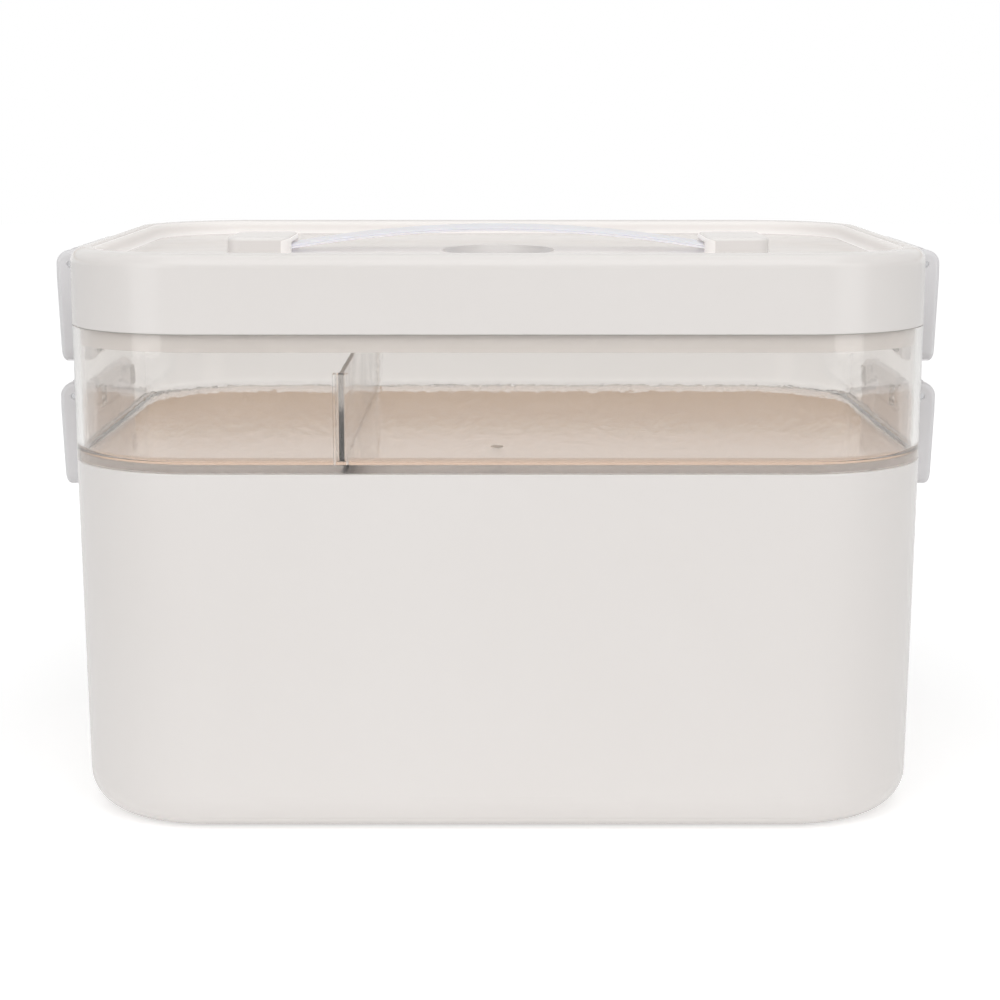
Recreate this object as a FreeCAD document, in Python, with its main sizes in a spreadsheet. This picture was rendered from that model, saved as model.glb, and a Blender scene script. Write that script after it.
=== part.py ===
"""First aid box: a deep white base, a clear tray that nests in its mouth, a white lid with a
strap handle, and four side latches. Millimetres. The origin is at the middle of the base's
underside, +Z up, and the front of the box faces -Y."""

import FreeCAD, Part
import Sketcher

import math
import os
import re

Vector = FreeCAD.Vector
Turn = FreeCAD.Rotation

# Driving sizes: name, value in millimetres or degrees, what it is.
SIZES = [
    ("lid_width", 306.0, "lid, left to right"),
    ("lid_depth", 235.0, "lid, front to back"),
    ("corner_radius", 49.0, "corner of the lid in plan"),
    ("base_height", 129.5, "underside of the base to its rim"),
    ("tray_height", 48.0, "rim of the base to rim of the tray"),
    ("seam_gap", 0.3, "open seam between tray and lid"),
    ("lid_height", 27.2, "lower edge of the lid to the top of its rim"),
    ("tray_draft", 0.25, "how far the tray's wall leans in over its height"),
    ("base_draft", 1.9, "how far the base's wall leans in over its height"),
    ("base_wall", 2.6, "wall of the base"),
    ("base_floor", 3.0, "floor of the base"),
    ("base_rounding", 14.0, "lower edge of the base"),
    ("standing_margin", 24.0, "width of the ring that the base stands on"),
    ("standing_recess", 0.8, "depth of the recess inside that ring"),
    ("edge_rounding", 0.6, "small rounding of moulded rims"),
    ("tray_wall", 2.4, "wall of the tray"),
    ("tray_floor", 2.6, "floor of the tray"),
    ("tray_inner_rounding", 3.0, "inner corner between tray floor and wall"),
    ("tray_foot_depth", 3.5, "how far the tray reaches into the base"),
    ("tray_foot_wall", 2.0, "thickness of the tray's foot ring"),
    ("nest_gap", 0.4, "clearance between parts that nest"),
    ("lid_wall", 4.9, "side wall of the lid with its skirt"),
    ("lid_panel", 2.4, "top panel of the lid"),
    ("rim_width", 9.5, "raised rim around the lid's panel"),
    ("rim_drop", 5.9, "panel below the rim"),
    ("rim_rounding", 5.0, "outer top edge of the lid"),
    ("rim_inner_rounding", 2.5, "inner top edge of the lid's rim"),
    ("panel_rounding", 2.5, "corner between rim and panel"),
    ("skirt_depth", 6.5, "lid skirt below the lid's lower edge"),
    ("seal_inset", 0.9, "outer face of the lid to the seal"),
    ("seal_width", 1.4, "width of the seal"),
    ("seal_depth", 1.8, "depth of the seal's groove"),
    ("dish_width", 44.0, "finger dish in the lid, left to right"),
    ("dish_length", 66.0, "finger dish in the lid, front to back"),
    ("dish_depth", 9.0, "finger dish below the panel"),
    ("dish_rise", 3.0, "centre of the dish's curve above the panel"),
    ("divider_place", 54.0, "divider, left of the middle"),
    ("divider_thickness", 1.8, "divider plate"),
    ("divider_height", 31.8, "divider plate above the tray's floor"),
    ("divider_gap", 0.35, "clearance at the divider's ends"),
    ("bar_width", 3.0, "bar down each end of the divider, left to right"),
    ("bar_depth", 2.4, "bar down each end of the divider, front to back"),
    ("guide_wall", 0.9, "rib that guides the divider"),
    ("guide_depth", 5.0, "how far a guide rib stands out of the wall"),
    ("guide_gap", 0.25, "clearance beside the divider"),
    ("latch_width", 90.0, "latch, front to back"),
    ("latch_wall", 2.4, "wall of a latch"),
    ("latch_reach", 5.2, "hinge line to the outer face of a latch"),
    ("latch_stand", 5.55, "side of the box to the hinge line"),
    ("latch_taper", 1.1, "how far a latch leans in at its lower edge"),
    ("latch_end_corner", 5.0, "lower corners of a latch seen from the side"),
    ("latch_rounding", 2.0, "edges around a latch"),
    ("cheek_gap", 0.7, "end cheek of a latch to the side of the box"),
    ("upper_hinge_rise", 18.8, "upper hinge line above the lid's lower edge"),
    ("upper_catch_drop", 31.4, "upper hinge line to its catch"),
    ("upper_latch_drop", 36.4, "upper hinge line to the latch's lower edge"),
    ("lower_hinge_rise", 17.8, "lower hinge line above the base's rim"),
    ("lower_catch_drop", 28.6, "lower hinge line to its catch"),
    ("lower_latch_drop", 33.6, "lower hinge line to the latch's lower edge"),
    ("catch_radius", 2.0, "round catch bead on the box"),
    ("catch_stand", 0.6, "centre of the catch bead outside the wall"),
    ("catch_margin", 4.6, "end of a catch bead to the end cheek of its latch"),
    ("hook_radius", 2.0, "round hook bead on the latch"),
    ("hook_gap", 0.3, "clearance as the hook passes its catch"),
    ("hook_drop", 2.3, "middle of the catch down to the middle of the hook"),
    ("pin_radius", 1.2, "hinge pin"),
    ("pin_inset", 1.0, "end of a latch to the end of its pin"),
    ("pin_gap", 0.05, "running clearance of the latch on its pin"),
    ("lug_radius", 2.5, "round end of a hinge lug"),
    ("lug_width", 10.0, "hinge lug, front to back"),
    ("lug_inset", 12.0, "end of a latch to the middle of a lug"),
    ("lug_gap", 0.6, "clearance beside a lug"),
    ("strap_width", 30.0, "handle strap, front to back"),
    ("strap_thickness", 1.5, "handle strap"),
    ("strap_lift", 0.8, "underside of the strap's ends above the panel"),
    ("strap_rise", 7.2, "bow of the strap at its middle"),
    ("grip_reach", 30.0, "middle of the strap to its inner bend"),
    ("strap_reach", 82.0, "middle of the strap to its outer bend"),
    ("bend_gap", 0.15, "clearance at a bend of the strap"),
    ("tongue_length", 13.0, "strap beyond its outer bend"),
    ("stop_length", 3.0, "wide stop at the strap's end"),
    ("stop_margin", 1.5, "how far the stop is wider than the strap at each side"),
    ("block_lead", 3.0, "mouth of a block to the outer bend of the strap"),
    ("block_side", 3.1, "wall of a block beside the strap's stop"),
    ("block_end", 4.1, "screws of a block to its far end"),
    ("block_corner", 5.0, "corner of a handle block in plan"),
    ("block_rounding", 1.5, "top edge of a handle block"),
    ("block_lip", 2.2, "wall of a block around the strap's mouth"),
    ("block_roof", 2.0, "wall of a block above the strap"),
    ("block_headroom", 1.6, "clearance above the strap in a block"),
    ("block_gap", 0.4, "clearance beside the strap in a block"),
    ("stop_gap", 1.0, "strap's stop to the end of the hollow in a block"),
    ("screw_radius", 1.5, "shank of a block screw"),
    ("screw_head_radius", 2.9, "head of a block screw"),
    ("screw_head_height", 1.8, "head of a block screw"),
    ("screw_cover", 1.5, "block above the end of a screw's hole"),
    ("screw_gap", 0.2, "clearance of a screw in the lid's panel"),
    ("screw_fit", 0.03, "clearance of a screw in its block"),
    ("screw_margin", 3.4, "hollow of a block to its screws"),
    ("screw_spread", 12.0, "middle of a block to a screw"),
]

# Lengths and levels that follow from the driving sizes.
WORKED = {
    "tray_rim": "base_height + tray_height",
    "lid_foot": "tray_rim + seam_gap",
    "lid_top": "lid_foot + lid_height",
    "panel_top": "lid_top - rim_drop",
    "panel_under": "panel_top - lid_panel",
    "side": "lid_width / 2",
    "tray_floor_top": "base_height + tray_floor",
    "base_mouth_inset": "tray_draft + base_wall",
    "tray_foot_inset": "base_mouth_inset + nest_gap",
    "skirt_inset": "tray_wall + nest_gap",
    "hinge_out": "side + latch_stand",
    "upper_hinge": "lid_foot + upper_hinge_rise",
    "lower_hinge": "base_height + lower_hinge_rise",
    "upper_catch": "upper_hinge - upper_catch_drop",
    "lower_catch": "lower_hinge - lower_catch_drop",
    "catch_in": "catch_stand - latch_stand",
    "hook_x": "catch_in + catch_radius + hook_radius + hook_gap",
    "latch_inner": "latch_reach - latch_wall",
    "cheek_in": "cheek_gap - latch_stand",
    "latch_room": "latch_width - 2 * latch_wall",
    "catch_length": "latch_room - 2 * catch_margin",
    "pin_length": "latch_width - 2 * pin_inset",
    "lug_place": "latch_width / 2 - lug_inset",
    "barrel_half": "lug_place - lug_width / 2 - lug_gap",
    "notch_half": "lug_place + lug_width / 2 + lug_gap",
    "strap_end_level": "panel_top + strap_lift + strap_thickness / 2",
    "bow_radius": "(strap_reach * strap_reach + strap_rise * strap_rise) / (2 * strap_rise)",
    "bow_centre": "strap_end_level + strap_rise - bow_radius",
    "tongue_start": "strap_reach + bend_gap",
    "tongue_end": "strap_reach + tongue_length",
    "stop_width": "strap_width + 2 * stop_margin",
    "block_place": "strap_reach - block_lead",
    "block_room": "tongue_end + stop_gap - block_place - block_lip",
    "block_length": "block_lip + block_room + screw_margin + block_end",
    "block_depth": "stop_width + 2 * block_gap + 2 * block_side",
    "block_height": "strap_lift + strap_thickness + block_headroom + block_roof",
    "screw_hole": "block_height - screw_cover",
    "divider_top": "tray_floor_top + divider_height",
    "divider_half": "lid_depth / 2 - tray_draft - tray_wall - tray_inner_rounding - divider_gap",
    "dish_drop": "dish_depth + dish_rise",
    "dish_spread": "sqrt(1 - (dish_rise / dish_drop) * (dish_rise / dish_drop))",
    "screw_out": "block_place + block_length - block_end",
}

doc = FreeCAD.newDocument("first_aid_box")
sheet = doc.addObject("Spreadsheet::Sheet", "Sizes")
names = set()
for row, (name, number, note) in enumerate(SIZES, start=1):
    sheet.set(f"A{row}", name)
    sheet.set(f"B{row}", str(number))
    sheet.set(f"C{row}", note)
    sheet.setAlias(f"B{row}", name)
    names.add(name)
doc.recompute()


def formula(text):
    """The same length written out on the cells of the sheet."""
    def written_out(match):
        word = match.group(0)
        if word in WORKED:
            return "(" + formula(WORKED[word]) + ")"
        if word in names:
            return "Sizes." + word
        return word
    return re.sub(r"[a-z_]+", written_out, str(text))


def value(text):
    return float(sheet.evalExpression(formula(text)))


def bind(thing, prop, text):
    thing.setExpression(prop, formula(text))


# Sketches

def new_body(label):
    body = doc.addObject("PartDesign::Body", label)
    body.Label = label
    return body


def new_sketch(body, plane="XY_Plane", level="0"):
    """An empty sketch on one of the body's own planes, moved along that plane's normal."""
    sketch = body.newObject("Sketcher::SketchObject", "Sketch")
    support = next(f for f in body.Origin.OriginFeatures if f.Role == plane)
    sketch.AttachmentSupport = [(support, "")]
    sketch.MapMode = "FlatFace"
    bind(sketch, "AttachmentOffset.Base.z", level)
    return sketch


def fix(sketch, kind, geometry, point, text):
    """Hold one coordinate of a point, or a radius, at a size from the sheet."""
    if kind == "Radius":
        rule = Sketcher.Constraint("Radius", geometry, value(text))
    else:
        rule = Sketcher.Constraint(kind, -1, 1, geometry, point, value(text))
    index = sketch.addConstraint(rule)
    sketch.renameConstraint(index, f"size{index}")
    sketch.setExpression(f"Constraints.size{index}", formula(text))


def add_outline(sketch, corners):
    """A closed outline. Each corner is (x, y), or (x, y, centre, turn) where an arc about
    centre starts, turn being 1 for anticlockwise and -1 for clockwise."""
    points = [(value(c[0]), value(c[1])) for c in corners]
    ends = []
    for i, corner in enumerate(corners):
        p, q = points[i], points[(i + 1) % len(points)]
        if len(corner) == 2:
            line = Part.LineSegment(Vector(*p, 0), Vector(*q, 0))
            ends.append((sketch.addGeometry(line), 1, 2))
            continue
        (cx, cy), turn = corner[2], corner[3]
        c = (value(cx), value(cy))
        first, last = (p, q) if turn > 0 else (q, p)
        start = math.atan2(first[1] - c[1], first[0] - c[0])
        stop = math.atan2(last[1] - c[1], last[0] - c[0])
        if stop <= start:
            stop += 2 * math.pi
        circle = Part.Circle(Vector(*c, 0), Vector(0, 0, 1), math.dist(p, c))
        arc = sketch.addGeometry(Part.ArcOfCircle(circle, start, stop))
        ends.append((arc, 1, 2) if turn > 0 else (arc, 2, 1))
        if abs(p[0] - q[0]) > abs(p[1] - q[1]):
            fix(sketch, "DistanceY", arc, 3, cy)
        else:
            fix(sketch, "DistanceX", arc, 3, cx)
    for i, corner in enumerate(corners):
        before, here = ends[i - 1], ends[i]
        sketch.addConstraint(Sketcher.Constraint("Coincident", before[0], before[2], here[0], here[1]))
        fix(sketch, "DistanceX", here[0], here[1], corner[0])
        fix(sketch, "DistanceY", here[0], here[1], corner[1])


def add_circle(sketch, x, y, radius):
    circle = Part.Circle(Vector(value(x), value(y), 0), Vector(0, 0, 1), value(radius))
    index = sketch.addGeometry(circle)
    fix(sketch, "DistanceX", index, 3, x)
    fix(sketch, "DistanceY", index, 3, y)
    fix(sketch, "Radius", index, 0, radius)


def add_box(sketch, x_low, x_high, y_low, y_high):
    add_outline(sketch, [(x_low, y_low), (x_high, y_low), (x_high, y_high), (x_low, y_high)])


def add_rounded_box(sketch, half_x, half_y, radius, middle="0"):
    """A rectangle with round corners about (middle, 0)."""
    hx, hy, r, m = f"({half_x})", f"({half_y})", f"({radius})", f"({middle})"
    left, right = f"{m} - {hx}", f"{m} + {hx}"
    near_left, near_right = f"{m} - {hx} + {r}", f"{m} + {hx} - {r}"
    low, high, near_low, near_high = f"0 - {hy}", hy, f"{r} - {hy}", f"{hy} - {r}"
    add_outline(sketch, [
        (near_left, low), (near_right, low, (near_right, near_low), 1),
        (right, near_low), (right, near_high, (near_right, near_high), 1),
        (near_right, high), (near_left, high, (near_left, near_high), 1),
        (left, near_high), (left, near_low, (near_left, near_low), 1)])


def add_plan(sketch, inset):
    """The box's rounded outline in plan, moved in from the lid's outer face."""
    add_rounded_box(sketch, f"lid_width / 2 - ({inset})", f"lid_depth / 2 - ({inset})",
                    f"corner_radius - ({inset})")


# Features

def volume(body):
    doc.recompute()
    return body.Shape.Volume if not body.Shape.isNull() else 0.0


def pad(body, sketch, length, middle=False, reverse=False):
    feature = body.newObject("PartDesign::Pad", "Pad")
    feature.Profile = sketch
    feature.Midplane = middle
    feature.Reversed = reverse
    bind(feature, "Length", length)
    doc.recompute()


def pocket(body, sketch, length, middle=False, reverse=False):
    before = volume(body)
    feature = body.newObject("PartDesign::Pocket", "Pocket")
    feature.Profile = sketch
    feature.Midplane = middle
    feature.Reversed = reverse
    bind(feature, "Length", length)
    if volume(body) >= before:
        raise ValueError(f"a pocket of {body.Label} cuts nothing")


def loft(body, low, low_inset, high, high_inset, cut=False):
    """A drafted wall or hollow between two levels, following the box's plan."""
    before = volume(body)
    sections = []
    for level, inset in ((low, low_inset), (high, high_inset)):
        sketch = new_sketch(body, level=level)
        add_plan(sketch, inset)
        sections.append(sketch)
    kind = "PartDesign::SubtractiveLoft" if cut else "PartDesign::AdditiveLoft"
    feature = body.newObject(kind, "Loft")
    feature.Profile = sections[0]
    feature.Sections = [sections[1]]
    feature.Ruled = True
    after = volume(body)
    if cut and after >= before:
        raise ValueError(f"a hollow of {body.Label} cuts nothing")


def near(a, b):
    return abs(a - b) < 0.01


def near_both(low, high, place):
    """An edge's box runs from low to high along one axis: the edge lies flat at that place."""
    return near(low, place) and near(high, place)


def edges(body, test):
    """Names of the body's edges whose box passes the test."""
    found = []
    for index, edge in enumerate(body.Shape.Edges, start=1):
        if test(edge.BoundBox):
            found.append(f"Edge{index}")
    if not found:
        raise ValueError(f"no edge of {body.Label} to round")
    return found


def level_edges(body, level, inset=None):
    """Edges that lie at one level, and all of them or those at one inset from the lid's outer face."""
    z = value(level)
    half, depth = value("side"), value("lid_depth / 2")

    def test(box):
        if not near_both(box.ZMin, box.ZMax, z):
            return False
        if inset is None:
            return True
        moved_in = min(half - max(abs(box.XMin), abs(box.XMax)), depth - max(abs(box.YMin), abs(box.YMax)))
        return near(moved_in, value(inset))
    return edges(body, test)


def fillet(body, edge_names, radius):
    rounded = body.Tip
    feature = body.newObject("PartDesign::Fillet", "Fillet")
    feature.Base = (rounded, edge_names)
    bind(feature, "Radius", radius)
    doc.recompute()


def plan_prism(body, inset, low, high, inner_inset=None):
    """A prism or ring of the box's plan between two levels."""
    sketch = new_sketch(body, level=low)
    add_plan(sketch, inset)
    if inner_inset is not None:
        add_plan(sketch, inner_inset)
    pad(body, sketch, f"({high}) - ({low})")


def plan_pocket(body, inset, low, high, inner_inset=None):
    """A cut of the box's plan, or of a ring of it, between two levels."""
    sketch = new_sketch(body, level=high)
    add_plan(sketch, inset)
    if inner_inset is not None:
        add_plan(sketch, inner_inset)
    pocket(body, sketch, f"({high}) - ({low})")


# The XZ plane's normal points to -Y, so its sketches read x to the right and z up.

def add_bead(body, x, z, radius, length):
    """A round bar along Y at both sides of the box."""
    for sign in ("", "0 - "):
        sketch = new_sketch(body, "XZ_Plane")
        add_circle(sketch, f"{sign}({x})", z, radius)
        pad(body, sketch, length, middle=True)


def add_lugs(body, hinge):
    """Four hinge lugs, two at each side, each with its bore for the pin."""
    for sign in (1, -1):
        for place in ("lug_place + lug_width / 2", "lug_width / 2 - lug_place"):
            sketch = new_sketch(body, "XZ_Plane", f"0 - ({place})")
            wall, line = f"{sign} * (side - tray_wall / 2)", f"{sign} * hinge_out"
            add_outline(sketch, [
                (wall, f"{hinge} + lug_radius"),
                (line, f"{hinge} + lug_radius", (line, hinge), -sign),
                (line, f"{hinge} - lug_radius"),
                (wall, f"{hinge} - lug_radius - latch_stand / 2")])
            pad(body, sketch, "lug_width")
    for sign in (1, -1):
        sketch = new_sketch(body, "XZ_Plane")
        add_circle(sketch, f"{sign} * hinge_out", hinge, "pin_radius + pin_gap")
        pocket(body, sketch, "latch_width", middle=True)


# Base

def make_base():
    body = new_body("base_box")
    loft(body, "0", "tray_draft + base_draft", "base_height", "tray_draft")
    loft(body, "base_floor", "tray_draft + base_draft + base_wall", "base_height",
         "base_mouth_inset", cut=True)
    fillet(body, level_edges(body, "base_floor"), "base_rounding - base_wall")
    fillet(body, level_edges(body, "0"), "base_rounding")
    plan_pocket(body, "tray_draft + base_draft + standing_margin", "0", "standing_recess")
    add_bead(body, "side + catch_stand", "lower_catch", "catch_radius", "catch_length")
    fillet(body, level_edges(body, "base_height"), "edge_rounding")
    return body


# Tray and its divider

def make_tray():
    body = new_body("tray")
    loft(body, "base_height", "tray_draft", "tray_rim", "0")
    loft(body, "tray_floor_top", "tray_draft + tray_wall", "tray_rim", "tray_wall", cut=True)
    fillet(body, level_edges(body, "tray_floor_top"), "tray_inner_rounding")
    fillet(body, level_edges(body, "base_height"), "edge_rounding")
    plan_prism(body, "tray_foot_inset", "base_height - tray_foot_depth", "base_height + tray_floor / 2",
               "tray_foot_inset + tray_foot_wall")
    guides = new_sketch(body, level="base_height + tray_floor / 2")
    wall = "lid_depth / 2 - tray_wall - tray_draft"
    reach = "bar_width / 2 + guide_gap"
    for side in (1, -1):
        face = f"0 - divider_place + {side} * ({reach})"
        back = f"{face} + {side} * guide_wall"
        for end in (1, -1):
            inner, outer = f"{end} * ({wall} - guide_depth)", f"{end} * ({wall} + tray_wall / 2)"
            add_box(guides, face, back, inner, outer)
    pad(body, guides, "divider_top - base_height - tray_floor / 2")
    add_bead(body, "side + catch_stand", "upper_catch", "catch_radius", "catch_length")
    add_lugs(body, "lower_hinge")
    return body


def make_divider():
    """A thin plate with a bar down each end, which slides between the tray's guide ribs."""
    body = new_body("tray_divider")
    plate = new_sketch(body, level="tray_floor_top")
    add_box(plate, "0 - divider_place - divider_thickness / 2", "0 - divider_place + divider_thickness / 2",
            "0 - divider_half", "divider_half")
    pad(body, plate, "divider_height")
    bars = new_sketch(body, level="tray_floor_top")
    for end in (1, -1):
        add_box(bars, "0 - divider_place - bar_width / 2", "0 - divider_place + bar_width / 2",
                f"{end} * (divider_half - bar_depth)", f"{end} * divider_half")
    pad(body, bars, "divider_height")
    top = value("divider_top")
    fillet(body, edges(body, lambda box: near(box.ZMin, top)), "edge_rounding")
    return body


# Lid, its seal and the handle

def add_dish(body, kind, grow):
    """A hollow or a bulge of half an egg, under the middle of the handle."""
    feature = body.newObject(kind, "Dish")
    support = next(f for f in body.Origin.OriginFeatures if f.Role == "XY_Plane")
    feature.AttachmentSupport = [(support, "")]
    feature.MapMode = "FlatFace"
    bind(feature, "AttachmentOffset.Base.z", "panel_top + dish_rise")
    bind(feature, "Radius1", f"dish_drop + {grow}")
    bind(feature, "Radius2", f"dish_width / 2 / dish_spread + {grow}")
    bind(feature, "Radius3", f"dish_length / 2 / dish_spread + {grow}")
    doc.recompute()


def make_lid():
    body = new_body("lid")
    plan_prism(body, "0", "lid_foot", "lid_top")
    fillet(body, level_edges(body, "lid_top"), "rim_rounding")
    plan_pocket(body, "lid_wall", "lid_foot", "panel_under")
    add_dish(body, "PartDesign::AdditiveEllipsoid", "lid_panel")
    plan_pocket(body, "rim_width", "panel_top", "lid_top + 2 * dish_drop")
    add_dish(body, "PartDesign::SubtractiveEllipsoid", "0")
    fillet(body, level_edges(body, "panel_top", "rim_width"), "panel_rounding")
    fillet(body, level_edges(body, "lid_top", "rim_width"), "rim_inner_rounding")
    plan_prism(body, "skirt_inset", "lid_foot - skirt_depth", "lid_foot + seal_depth", "lid_wall")
    plan_pocket(body, "seal_inset", "lid_foot", "lid_foot + seal_depth", "seal_inset + seal_width")
    holes = new_sketch(body, level="panel_top")
    for sign in (1, -1):
        for end in (1, -1):
            add_circle(holes, f"{sign} * screw_out", f"{end} * screw_spread", "screw_radius + screw_gap")
    pocket(body, holes, "lid_panel")
    add_lugs(body, "upper_hinge")
    return body


def make_seal():
    body = new_body("lid_seal")
    plan_prism(body, "seal_inset", "tray_rim", "lid_foot + seal_depth", "seal_inset + seal_width")
    return body


def turn_to(body, side, x="0", z="0"):
    """Place a body that is modelled for the right side; the left one is turned half way round."""
    body.Placement = FreeCAD.Placement(Vector(0, 0, 0), Turn(Vector(0, 0, 1), 0 if side > 0 else 180))
    bind(body, "Placement.Base.x", f"{side} * ({x})")
    bind(body, "Placement.Base.z", z)


def make_block(label, side):
    """Cover over one end of the strap, hollow below, with its mouth towards the middle."""
    body = new_body(label)
    plan = new_sketch(body, level="panel_top")
    add_rounded_box(plan, "block_length / 2", "block_depth / 2", "block_corner",
                    "block_place + block_length / 2")
    pad(body, plan, "block_height")
    top = value("panel_top + block_height")
    fillet(body, edges(body, lambda box: near(box.ZMin, top)), "block_rounding")
    room = new_sketch(body, level="panel_top")
    add_box(room, "block_place + block_lip", "block_place + block_lip + block_room",
            "0 - stop_width / 2 - block_gap", "stop_width / 2 + block_gap")
    pocket(body, room, "block_height - block_roof", reverse=True)
    mouth = new_sketch(body, level="panel_top")
    add_box(mouth, "block_place - block_lip", "block_place + 2 * block_lip",
            "0 - strap_width / 2 - block_gap", "strap_width / 2 + block_gap")
    pocket(body, mouth, "block_height - block_roof", reverse=True)
    holes = new_sketch(body, level="panel_top")
    for end in (1, -1):
        add_circle(holes, "screw_out", f"{end} * screw_spread", "screw_radius + screw_fit")
    pocket(body, holes, "screw_hole", reverse=True)
    turn_to(body, side)
    return body


def make_screws():
    """Four screws from under the lid's panel into the blocks."""
    screws = []
    for x_sign in (1, -1):
        for y_sign in (1, -1):
            parts = []
            for kind, radius, low, length in (
                    ("Head", "screw_head_radius", "panel_under - screw_head_height", "screw_head_height"),
                    ("Shank", "screw_radius", "panel_under - screw_head_height / 2",
                     "screw_head_height / 2 + lid_panel + screw_hole - screw_gap")):
                rod = doc.addObject("Part::Cylinder", kind)
                bind(rod, "Radius", radius)
                bind(rod, "Height", length)
                bind(rod, "Placement.Base.x", f"{x_sign} * screw_out")
                bind(rod, "Placement.Base.y", f"{y_sign} * screw_spread")
                bind(rod, "Placement.Base.z", low)
                parts.append(rod)
            screw = doc.addObject("Part::MultiFuse", "Screw")
            screw.Shapes = parts
            screws.append(screw)
    group = doc.addObject("Part::Compound", "handle_screws")
    group.Label = "handle_screws"
    group.Links = screws
    return group


def bow(x, offset):
    """Height of the bowed strap at x, its surface being offset from its mid line."""
    return f"bow_centre + sqrt((bow_radius + {offset}) * (bow_radius + {offset}) - ({x}) * ({x}))"


def make_bowed_strap(label, low_x, high_x, side=1):
    """A length of the strap between two places along its bow."""
    body = new_body(label)
    sketch = new_sketch(body, "XZ_Plane")
    half = "strap_thickness / 2"
    centre = ("0", "bow_centre")
    add_outline(sketch, [
        (low_x, bow(low_x, f"0 - {half}"), centre, -1),
        (high_x, bow(high_x, f"0 - {half}")),
        (high_x, bow(high_x, half), centre, 1),
        (low_x, bow(low_x, half))])
    pad(body, sketch, "strap_width", middle=True)
    turn_to(body, side)
    return body


def make_tongue(label, side):
    """The flat end of the strap, with a wide stop that can't leave its block."""
    body = new_body(label)
    plan = new_sketch(body, level="panel_top + strap_lift")
    half, stop = "strap_width / 2", "stop_width / 2"
    neck = "tongue_end - stop_length"
    add_outline(plan, [
        ("tongue_start", f"0 - {half}"), (neck, f"0 - {half}"), (neck, f"0 - {stop}"),
        ("tongue_end", f"0 - {stop}"), ("tongue_end", stop), (neck, stop),
        (neck, half), ("tongue_start", half)])
    pad(body, plan, "strap_thickness")
    turn_to(body, side)
    return body


# Latches, modelled about their hinge line: x outwards, z up

def make_latch(label, side, hinge, catch_drop, latch_drop):
    body = new_body(label)
    floor = f"latch_wall - {latch_drop}"
    outline = new_sketch(body, "XZ_Plane")
    add_outline(outline, [
        ("0 - latch_reach", "0", ("0", "0"), -1), ("latch_reach", "0"), ("latch_reach", "0 - latch_reach"),
        ("latch_reach - latch_taper", f"0 - {latch_drop}"), ("cheek_in", f"0 - {latch_drop}"),
        ("cheek_in", "0 - latch_reach")])
    pad(body, outline, "latch_width", middle=True)
    low, outer = value(f"0 - {latch_drop}"), value("latch_reach - latch_taper")
    fillet(body, edges(body, lambda box: near_both(box.ZMin, box.ZMax, low)
                       and near(box.YMin, box.YMax)), "latch_end_corner")
    fillet(body, edges(body, lambda box: near(box.ZMax, low)
                       and near_both(box.XMin, box.XMax, outer)), "latch_rounding")
    room = new_sketch(body, "XZ_Plane")
    add_box(room, "0 - 2 * latch_stand", "latch_inner - latch_taper", floor, "0 - latch_reach")
    pocket(body, room, "latch_room", middle=True)
    throat = new_sketch(body, "XZ_Plane")
    add_box(throat, "0 - 2 * latch_stand", "latch_inner", "0 - 2 * latch_reach", "0")
    pocket(body, throat, "latch_room", middle=True)
    eye = new_sketch(body, "XZ_Plane")
    add_circle(eye, "0", "0", "latch_inner")
    pocket(body, eye, "latch_room", middle=True)
    under = new_sketch(body, "XZ_Plane")
    add_box(under, "0 - 2 * latch_stand", "hook_x", f"0 - 2 * {latch_drop}", f"{floor}")
    pocket(body, under, "latch_room", middle=True)
    gap = new_sketch(body, "XZ_Plane")
    add_box(gap, "0 - 2 * latch_stand", "0 - latch_wall", "0", "2 * latch_reach")
    pocket(body, gap, "latch_room", middle=True)
    hook = new_sketch(body, "XZ_Plane")
    add_circle(hook, "hook_x", f"0 - {catch_drop} - hook_drop", "hook_radius")
    pad(body, hook, "catch_length", middle=True)
    barrel = new_sketch(body, "XZ_Plane")
    root = "latch_inner + latch_wall / 2"
    add_outline(barrel, [("0", "lug_radius", ("0", "0"), 1), ("0", "0 - lug_radius"),
                         (root, "0 - lug_radius"), (root, "lug_radius")])
    pad(body, barrel, "2 * barrel_half", middle=True)
    for sign in (1, -1):
        notch = new_sketch(body, "XY_Plane", "0 - lug_radius - lug_gap")
        add_box(notch, "0 - 2 * latch_reach", "2 * latch_reach",
                f"{sign} * barrel_half", f"{sign} * notch_half")
        pocket(body, notch, "3 * latch_reach", reverse=True)
    bore = new_sketch(body, "XZ_Plane")
    add_circle(bore, "0", "0", "pin_radius + pin_gap")
    pocket(body, bore, "2 * latch_width", middle=True)
    turn_to(body, side, "hinge_out", hinge)
    return body


def make_pin(label, side, hinge):
    pin = doc.addObject("Part::Cylinder", label)
    pin.Label = label
    bind(pin, "Radius", "pin_radius")
    bind(pin, "Height", "pin_length")
    pin.Placement = FreeCAD.Placement(Vector(0, 0, 0), Turn(Vector(1, 0, 0), -90))
    bind(pin, "Placement.Base.x", f"{side} * hinge_out")
    bind(pin, "Placement.Base.y", "0 - pin_length / 2")
    bind(pin, "Placement.Base.z", hinge)
    return pin


sub_parts = [make_base(), make_tray(), make_divider(), make_lid(), make_seal()]
for name, side in (("right", 1), ("left", -1)):
    sub_parts.append(make_block(f"handle_block_{name}", side))
    sub_parts.append(make_bowed_strap(f"handle_arm_{name}", "grip_reach + bend_gap",
                                      "strap_reach - bend_gap", side))
    sub_parts.append(make_tongue(f"handle_tongue_{name}", side))
    for level in ("upper", "lower"):
        hinge = f"{level}_hinge"
        sub_parts.append(make_latch(f"{level}_latch_{name}", side, hinge, f"{level}_catch_drop",
                                    f"{level}_latch_drop"))
        sub_parts.append(make_pin(f"{level}_pin_{name}", side, hinge))
sub_parts.append(make_bowed_strap("handle_grip", "bend_gap - grip_reach", "grip_reach - bend_gap"))
sub_parts.append(make_screws())
doc.recompute()

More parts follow.
